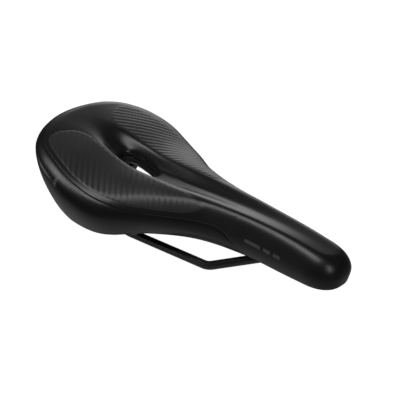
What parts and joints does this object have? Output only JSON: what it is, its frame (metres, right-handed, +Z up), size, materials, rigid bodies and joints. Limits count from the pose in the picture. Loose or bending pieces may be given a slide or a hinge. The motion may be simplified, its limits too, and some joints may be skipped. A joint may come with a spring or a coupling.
{
  "type": "bicycle saddle",
  "caption": "Short black off-road bicycle saddle: padded cover with ribbed wing zones, relief opening and channel, on a nylon shell carried by a round bent steel rail.",
  "frame": {"origin": "midway between the two straight clamp runs of the rail, at the height of their centres and halfway along them", "axes": "+X to the nose, +Y to the rider's left, +Z up"},
  "size_m": [0.2827, 0.1402, 0.0799],
  "materials": {
    "cover": "satin black microfibre with a fine grain",
    "band": "smooth black synthetic band, soft sheen",
    "grip": "ribbed matt grip texture, black",
    "foam": "moulded polyurethane foam, dark grey",
    "gel": "soft comfort pad",
    "nylon": "glass-filled nylon, fine spark-eroded texture",
    "rail_steel": "black lacquered chromium-molybdenum steel",
    "screw_steel": "zinc-plated steel",
    "brass": "plain turned brass"
  },
  "bodies": {
    "root": {"top_cover": "cover", "side_band": "band", "cover_hem": "band", "grip_panel_right": "grip", "grip_panel_left": "grip", "foam_pad": "foam", "comfort_inlay_right": "gel", "comfort_inlay_left": "gel", "base_shell": "nylon", "relief_liner": "nylon", "rail": "rail_steel", "rear_socket_right": "nylon", "rear_socket_left": "nylon", "rear_clip_right": "nylon", "rear_clip_left": "nylon", "rear_clip_screws": "screw_steel", "rear_clip_inserts": "brass", "nose_socket": "nylon", "nose_clip": "nylon", "nose_clip_screws": "screw_steel", "nose_clip_inserts": "brass", "hem_staples": "screw_steel"}
  },
  "joints": []
}
